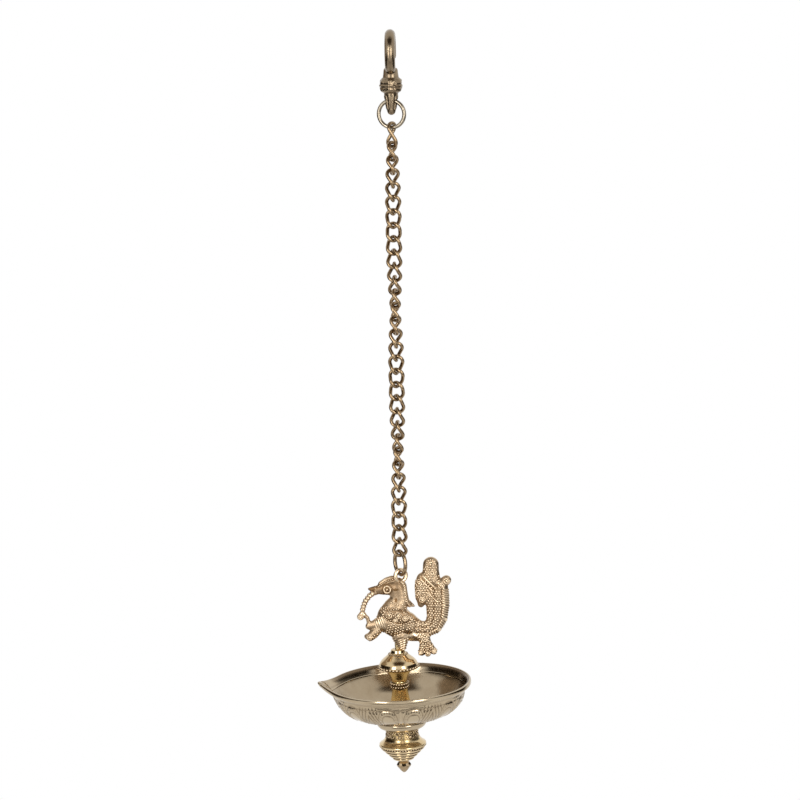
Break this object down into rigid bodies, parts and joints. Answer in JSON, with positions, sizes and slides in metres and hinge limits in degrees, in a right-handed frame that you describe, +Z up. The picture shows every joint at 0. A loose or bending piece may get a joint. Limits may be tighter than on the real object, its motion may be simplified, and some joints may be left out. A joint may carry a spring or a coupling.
{
  "type": "hanging oil lamp",
  "caption": "Hanging brass oil lamp: a spouted bowl with a pendant below and a cast bird above, on a twisted curb chain with a ring and an open crook hook at the top.",
  "frame": {"origin": "the highest point inside the crook, where the hook bears on whatever it hangs from", "axes": "+Z up along the hanging chain, +X to the right towards the tail of the bird, -Y towards the viewer"},
  "size_m": [0.1096, 0.102, 0.5283],
  "materials": {
    "hook_brass": "cast, dark and aged",
    "ring_brass": "pale drawn wire, satin",
    "chain_brass": "antique gold wire, brown in the hollows",
    "bird_brass": "cast, stippled and lightly rubbed",
    "turned_brass": "turned and polished, warm gold",
    "bowl_brass": "polished, pale champagne",
    "rod_brass": "plain rod"
  },
  "bodies": {
    "hook": {"ceiling_hook": "hook_brass"},
    "upper_ring": {"top_ring": "ring_brass"},
    "link_01": {"chain_link_01": "chain_brass"},
    "link_02": {"chain_link_02": "chain_brass"},
    "link_03": {"chain_link_03": "chain_brass"},
    "link_04": {"chain_link_04": "chain_brass"},
    "link_05": {"chain_link_05": "chain_brass"},
    "link_06": {"chain_link_06": "chain_brass"},
    "link_07": {"chain_link_07": "chain_brass"},
    "link_08": {"chain_link_08": "chain_brass"},
    "link_09": {"chain_link_09": "chain_brass"},
    "link_10": {"chain_link_10": "chain_brass"},
    "link_11": {"chain_link_11": "chain_brass"},
    "link_12": {"chain_link_12": "chain_brass"},
    "link_13": {"chain_link_13": "chain_brass"},
    "link_14": {"chain_link_14": "chain_brass"},
    "link_15": {"chain_link_15": "chain_brass"},
    "link_16": {"chain_link_16": "chain_brass"},
    "link_17": {"chain_link_17": "chain_brass"},
    "link_18": {"chain_link_18": "chain_brass"},
    "link_19": {"chain_link_19": "chain_brass"},
    "link_20": {"chain_link_20": "chain_brass"},
    "link_21": {"chain_link_21": "chain_brass"},
    "link_22": {"chain_link_22": "chain_brass"},
    "link_23": {"chain_link_23": "chain_brass"},
    "link_24": {"chain_link_24": "chain_brass"},
    "link_25": {"chain_link_25": "chain_brass"},
    "link_26": {"chain_link_26": "chain_brass"},
    "link_27": {"chain_link_27": "chain_brass"},
    "link_28": {"chain_link_28": "chain_brass"},
    "link_29": {"chain_link_29": "chain_brass"},
    "link_30": {"chain_link_30": "chain_brass"},
    "link_31": {"chain_link_31": "chain_brass"},
    "link_32": {"chain_link_32": "chain_brass"},
    "ring_low": {"lower_ring": "chain_brass"},
    "lamp": {"crest_loop": "bird_brass", "bird": "bird_brass", "dome_cap": "turned_brass", "stem": "turned_brass", "oil_bowl": "bowl_brass", "pendant": "turned_brass", "tie_rod": "rod_brass"}
  },
  "joints": [
    {"name": "upper_ring_swing", "type": "hinge", "parent": "hook", "child": "upper_ring", "pos_m": [0, 0, -0.04195], "axis": [0.9455, -0.3256, 0], "range_deg": [-60, 60]},
    {"name": "link_01_swing", "type": "hinge", "parent": "upper_ring", "child": "link_01", "pos_m": [0, 0, -0.05702], "axis": [-0.6691, -0.7431, 0], "range_deg": [-40, 40]},
    {"name": "link_02_swing", "type": "hinge", "parent": "link_01", "child": "link_02", "pos_m": [0, 0, -0.07317], "axis": [-0.809, 0.5878, 0], "range_deg": [-40, 40]},
    {"name": "link_03_swing", "type": "hinge", "parent": "link_02", "child": "link_03", "pos_m": [0, 0, -0.07964], "axis": [0.9332, 0.3593, 0], "range_deg": [-40, 40]},
    {"name": "link_04_swing", "type": "hinge", "parent": "link_03", "child": "link_04", "pos_m": [0, 0, -0.09181], "axis": [-0.4549, 0.8906, 0], "range_deg": [-40, 40]},
    {"name": "link_05_swing", "type": "hinge", "parent": "link_04", "child": "link_05", "pos_m": [0, 0, -0.09828], "axis": [-0.9934, 0.1145, 0], "range_deg": [-40, 40]},
    {"name": "link_06_swing", "type": "hinge", "parent": "link_05", "child": "link_06", "pos_m": [0, 0, -0.11045], "axis": [-0.0101, -0.9999, 0], "range_deg": [-40, 40]},
    {"name": "link_07_swing", "type": "hinge", "parent": "link_06", "child": "link_07", "pos_m": [0, 0, -0.11692], "axis": [0.8202, -0.5721, 0], "range_deg": [-40, 40]},
    {"name": "link_08_swing", "type": "hinge", "parent": "link_07", "child": "link_08", "pos_m": [0, 0, -0.12909], "axis": [0.4832, 0.8755, 0], "range_deg": [-40, 40]},
    {"name": "link_09_swing", "type": "hinge", "parent": "link_08", "child": "link_09", "pos_m": [0, 0, -0.13556], "axis": [-0.4399, 0.8981, 0], "range_deg": [-40, 40]},
    {"name": "link_10_swing", "type": "hinge", "parent": "link_09", "child": "link_10", "pos_m": [0, 0, -0.14773], "axis": [-0.8472, -0.5313, 0], "range_deg": [-40, 40]},
    {"name": "link_11_swing", "type": "hinge", "parent": "link_10", "child": "link_11", "pos_m": [0, 0, -0.1542], "axis": [-0.0628, -0.998, 0], "range_deg": [-40, 40]},
    {"name": "link_12_swing", "type": "hinge", "parent": "link_11", "child": "link_12", "pos_m": [0, 0, -0.16637], "axis": [0.9991, 0.0419, 0], "range_deg": [-40, 40]},
    {"name": "link_13_swing", "type": "hinge", "parent": "link_12", "child": "link_13", "pos_m": [0, 0, -0.17284], "axis": [0.559, 0.8292, 0], "range_deg": [-40, 40]},
    {"name": "link_14_swing", "type": "hinge", "parent": "link_13", "child": "link_14", "pos_m": [0, 0, -0.18501], "axis": [-0.8831, 0.4692, 0], "range_deg": [-40, 40]},
    {"name": "link_15_swing", "type": "hinge", "parent": "link_14", "child": "link_15", "pos_m": [0, 0, -0.19148], "axis": [-0.9067, -0.4217, 0], "range_deg": [-40, 40]},
    {"name": "link_16_swing", "type": "hinge", "parent": "link_15", "child": "link_16", "pos_m": [0, 0, -0.20365], "axis": [0.5142, -0.8577, 0], "range_deg": [-40, 40]},
    {"name": "link_17_swing", "type": "hinge", "parent": "link_16", "child": "link_17", "pos_m": [0, 0, -0.21012], "axis": [0.9929, -0.1187, 0], "range_deg": [-40, 40]},
    {"name": "link_18_swing", "type": "hinge", "parent": "link_17", "child": "link_18", "pos_m": [0, 0, -0.22229], "axis": [0.0142, 0.9999, 0], "range_deg": [-40, 40]},
    {"name": "link_19_swing", "type": "hinge", "parent": "link_18", "child": "link_19", "pos_m": [0, 0, -0.22876], "axis": [-0.7742, 0.6329, 0], "range_deg": [-40, 40]},
    {"name": "link_20_swing", "type": "hinge", "parent": "link_19", "child": "link_20", "pos_m": [0, 0, -0.24093], "axis": [-0.5485, -0.8362, 0], "range_deg": [-40, 40]},
    {"name": "link_21_swing", "type": "hinge", "parent": "link_20", "child": "link_21", "pos_m": [0, 0, -0.2474], "axis": [-0.3024, 0.9532, 0], "range_deg": [-40, 40]},
    {"name": "link_22_swing", "type": "hinge", "parent": "link_21", "child": "link_22", "pos_m": [0, 0, -0.25957], "axis": [0.9164, 0.4003, 0], "range_deg": [-40, 40]},
    {"name": "link_23_swing", "type": "hinge", "parent": "link_22", "child": "link_23", "pos_m": [0, 0, -0.26604], "axis": [-0.2794, -0.9602, 0], "range_deg": [-40, 40]},
    {"name": "link_24_swing", "type": "hinge", "parent": "link_23", "child": "link_24", "pos_m": [0, 0, -0.27821], "axis": [0.9841, -0.1775, 0], "range_deg": [-40, 40]},
    {"name": "link_25_swing", "type": "hinge", "parent": "link_24", "child": "link_25", "pos_m": [0, 0, -0.28468], "axis": [-0.7742, -0.6329, 0], "range_deg": [-40, 40]},
    {"name": "link_26_swing", "type": "hinge", "parent": "link_25", "child": "link_26", "pos_m": [0, 0, -0.29685], "axis": [-0.7104, 0.7038, 0], "range_deg": [-40, 40]},
    {"name": "link_27_swing", "type": "hinge", "parent": "link_26", "child": "link_27", "pos_m": [0, 0, -0.30332], "axis": [0.9975, 0.0709, 0], "range_deg": [-40, 40]},
    {"name": "link_28_swing", "type": "hinge", "parent": "link_27", "child": "link_28", "pos_m": [0, 0, -0.31549], "axis": [-0.1747, 0.9846, 0], "range_deg": [-40, 40]},
    {"name": "link_29_swing", "type": "hinge", "parent": "link_28", "child": "link_29", "pos_m": [0, 0, -0.32196], "axis": [0.8497, -0.5273, 0], "range_deg": [-40, 40]},
    {"name": "link_30_swing", "type": "hinge", "parent": "link_29", "child": "link_30", "pos_m": [0, 0, -0.33413], "axis": [-0.4356, -0.9001, 0], "range_deg": [-40, 40]},
    {"name": "link_31_swing", "type": "hinge", "parent": "link_30", "child": "link_31", "pos_m": [0, 0, -0.3406], "axis": [-0.3681, 0.9298, 0], "range_deg": [-40, 40]},
    {"name": "link_32_swing", "type": "hinge", "parent": "link_31", "child": "link_32", "pos_m": [0, 0, -0.35277], "axis": [-0.8862, -0.4633, 0], "range_deg": [-40, 40]},
    {"name": "lower_ring_swing", "type": "hinge", "parent": "link_32", "child": "ring_low", "pos_m": [0, 0, -0.35914], "axis": [0.4384, -0.8988, 0], "range_deg": [-40, 40]},
    {"name": "lamp_swing", "type": "hinge", "parent": "ring_low", "child": "lamp", "pos_m": [0, 0, -0.37269], "axis": [0.8988, 0.4384, 0], "range_deg": [-30, 30]}
  ]
}
